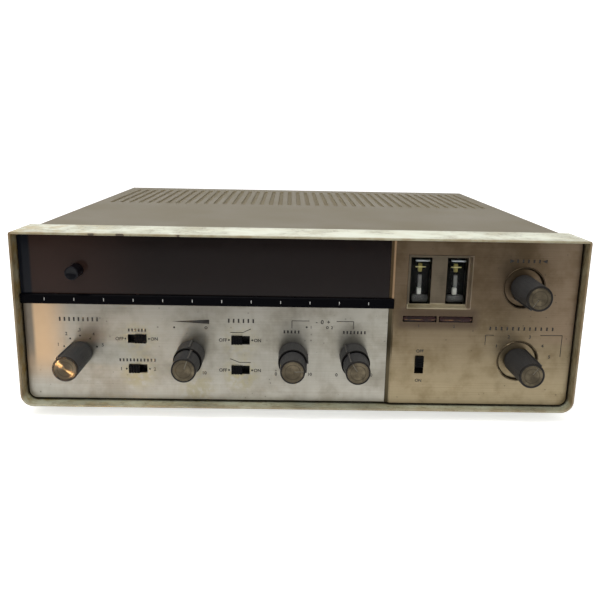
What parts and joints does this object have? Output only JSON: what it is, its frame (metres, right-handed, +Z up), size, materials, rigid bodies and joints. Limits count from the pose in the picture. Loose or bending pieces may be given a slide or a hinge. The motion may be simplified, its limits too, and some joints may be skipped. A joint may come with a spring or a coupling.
{
  "type": "tube integrated amplifier",
  "caption": "Table-top vacuum-tube integrated amplifier with a cream front frame, silver and champagne panels, turning knobs, slide switches and a slotted cover.",
  "frame": {"origin": "middle of the footprint box, on the plane that the feet stand on", "axes": "+Z up, front faces -Y, +X to the right seen from the front"},
  "size_m": [0.43, 0.4526, 0.144],
  "materials": {
    "cream_paint": "aged semi-gloss enamel with stains and chips",
    "taupe_paint": "fine satin wrinkle paint",
    "bare_steel": "plated sheet steel, dulled",
    "silver_aluminium": "brushed, with stains",
    "champagne_aluminium": "anodised champagne, worn and stained",
    "smoked_acrylic": "dark brown, glossy",
    "black_trim": "satin black",
    "ribbed_black": "fine ribs, satin",
    "spun_aluminium": "spun, with fine rings",
    "slider_black": "moulded black",
    "red_lens": "dark red, translucent",
    "tube_glass": "clear glass with a getter flash",
    "phenolic": "brown laminate",
    "brass_shaft": "turned",
    "black_rubber": "matte",
    "black_lacquer": "black lacquer",
    "can_aluminium": "drawn can",
    "socket_ceramic": "cream moulded",
    "jack_metal": "nickel-plated on brown laminate",
    "outlet_plastic": "dark brown moulded"
  },
  "bodies": {
    "case": {"front_frame": "cream_paint", "top_cover": "taupe_paint", "chassis": "bare_steel", "front_wall": "bare_steel", "rear_apron": "bare_steel", "bottom_pan": "bare_steel", "feet": "black_rubber", "cover_screws": "bare_steel", "sub_panel": "black_lacquer", "silver_panel": "silver_aluminium", "dark_window": "smoked_acrylic", "trim_bar": "black_trim", "gold_panel": "champagne_aluminium", "eye_bezel": "champagne_aluminium", "eye_tubes": "tube_glass", "pilot_lenses": "red_lens", "slide_switches": "phenolic", "rotary_switches": "phenolic", "control_pots": "bare_steel", "power_switch": "phenolic", "power_transformer": "black_lacquer", "output_transformers": "black_lacquer", "filter_capacitors": "can_aluminium", "tube_sockets": "socket_ceramic", "tubes": "tube_glass", "input_jacks": "jack_metal", "speaker_terminals": "phenolic", "fuse_holder": "black_trim", "ac_outlets": "outlet_plastic", "cord_gland": "black_rubber"},
    "selector_control": {"selector_knob": "ribbed_black", "selector_cap": "spun_aluminium", "selector_shaft": "brass_shaft"},
    "balance_control": {"balance_knob": "ribbed_black", "balance_cap": "spun_aluminium", "balance_shaft": "brass_shaft"},
    "mode_control": {"mode_knob": "ribbed_black", "mode_cap": "spun_aluminium", "mode_shaft": "brass_shaft"},
    "volume_control": {"volume_knob": "ribbed_black", "volume_cap": "spun_aluminium", "volume_shaft": "brass_shaft"},
    "bass_control": {"bass_knob": "ribbed_black", "bass_cap": "spun_aluminium", "bass_shaft": "brass_shaft"},
    "treble_control": {"treble_knob": "ribbed_black", "treble_cap": "spun_aluminium", "treble_shaft": "brass_shaft"},
    "volume_ring_control": {"volume_ring": "ribbed_black", "volume_sleeve": "brass_shaft"},
    "bass_ring_control": {"bass_ring": "ribbed_black", "bass_sleeve": "brass_shaft"},
    "treble_ring_control": {"treble_ring": "ribbed_black", "treble_sleeve": "brass_shaft"},
    "left_upper_slide": {"left_upper_slider": "slider_black"},
    "left_lower_slide": {"left_lower_slider": "slider_black"},
    "filter_upper_slide": {"filter_upper_slider": "slider_black"},
    "filter_lower_slide": {"filter_lower_slider": "slider_black"},
    "speaker_slide": {"speaker_slider": "slider_black"},
    "power_push": {"power_button": "slider_black"}
  },
  "joints": [
    {"name": "selector_turn", "type": "hinge", "parent": "case", "child": "selector_control", "pos_m": [-0.1695, -0.1863, 0.0495], "axis": [0, 1, 0], "range_deg": [-36, 108]},
    {"name": "balance_turn", "type": "hinge", "parent": "case", "child": "balance_control", "pos_m": [0.17, -0.1863, 0.1062], "axis": [0, 1, 0], "range_deg": [-5, 295]},
    {"name": "mode_turn", "type": "hinge", "parent": "case", "child": "mode_control", "pos_m": [0.17, -0.1863, 0.048], "axis": [0, 1, 0], "range_deg": [-108, 36]},
    {"name": "volume_turn", "type": "hinge", "parent": "case", "child": "volume_control", "pos_m": [-0.0845, -0.1863, 0.0495], "axis": [0, 1, 0], "range_deg": [-169, 131]},
    {"name": "bass_turn", "type": "hinge", "parent": "case", "child": "bass_control", "pos_m": [-0.0055, -0.1863, 0.0495], "axis": [0, 1, 0], "range_deg": [-237, 63]},
    {"name": "treble_turn", "type": "hinge", "parent": "case", "child": "treble_control", "pos_m": [0.042, -0.1863, 0.0495], "axis": [0, 1, 0], "range_deg": [-117, 183]},
    {"name": "volume_ring_turn", "type": "hinge", "parent": "case", "child": "volume_ring_control", "pos_m": [-0.0845, -0.1863, 0.0495], "axis": [0, 1, 0], "range_deg": [-156, 144]},
    {"name": "bass_ring_turn", "type": "hinge", "parent": "case", "child": "bass_ring_control", "pos_m": [-0.0055, -0.1863, 0.0495], "axis": [0, 1, 0], "range_deg": [-237, 63]},
    {"name": "treble_ring_turn", "type": "hinge", "parent": "case", "child": "treble_ring_control", "pos_m": [0.042, -0.1863, 0.0495], "axis": [0, 1, 0], "range_deg": [-113, 187]},
    {"name": "left_upper_move", "type": "slide", "parent": "case", "child": "left_upper_slide", "axis": [1, 0, 0], "range_m": [-0.0054, 0]},
    {"name": "left_lower_move", "type": "slide", "parent": "case", "child": "left_lower_slide", "axis": [1, 0, 0], "range_m": [0, 0.0054]},
    {"name": "filter_upper_move", "type": "slide", "parent": "case", "child": "filter_upper_slide", "axis": [1, 0, 0], "range_m": [0, 0.0054]},
    {"name": "filter_lower_move", "type": "slide", "parent": "case", "child": "filter_lower_slide", "axis": [1, 0, 0], "range_m": [0, 0.0054]},
    {"name": "speaker_move", "type": "slide", "parent": "case", "child": "speaker_slide", "axis": [0, 0, 1], "range_m": [-0.0054, 0]},
    {"name": "power_press", "type": "slide", "parent": "case", "child": "power_push", "axis": [0, 1, 0], "range_m": [0, 0.0035], "stiffness_N_per_m": 400}
  ]
}
